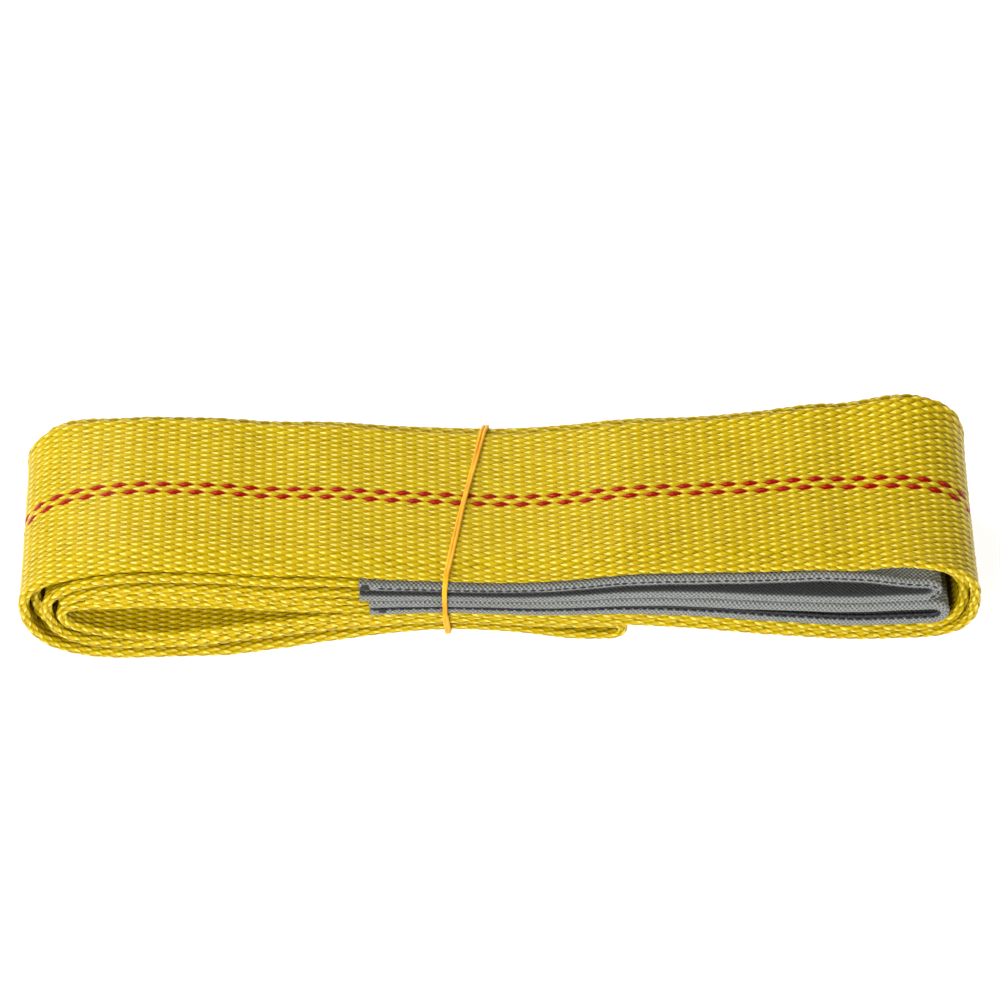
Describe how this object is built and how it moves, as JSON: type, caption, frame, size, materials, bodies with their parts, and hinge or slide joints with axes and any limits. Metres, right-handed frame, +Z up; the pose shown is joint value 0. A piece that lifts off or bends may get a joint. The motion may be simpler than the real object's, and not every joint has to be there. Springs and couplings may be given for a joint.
{
  "type": "lifting sling",
  "caption": "Flat polyester web lifting sling with eyes in wear sleeves, folded in half, rolled flat and held by a rubber band.",
  "frame": {"origin": "on the floor, under the middle of the bundle", "axes": "+X along the bundle towards the bearing ends of the eyes, +Y across the web from its near edges to its far edges, +Z up from the floor"},
  "size_m": [0.241, 0.0586, 0.0354],
  "materials": {
    "yellow_web": "woven polyester, slight sheen",
    "grey_fabric": "plain weave, matt",
    "amber_rubber": "smooth, translucent",
    "black_thread": "sewing thread, matt"
  },
  "bodies": {
    "root": {"sling_web": "yellow_web", "eye_sleeve_upper": "grey_fabric", "eye_sleeve_lower": "grey_fabric", "rubber_band": "amber_rubber"}
  },
  "joints": []
}
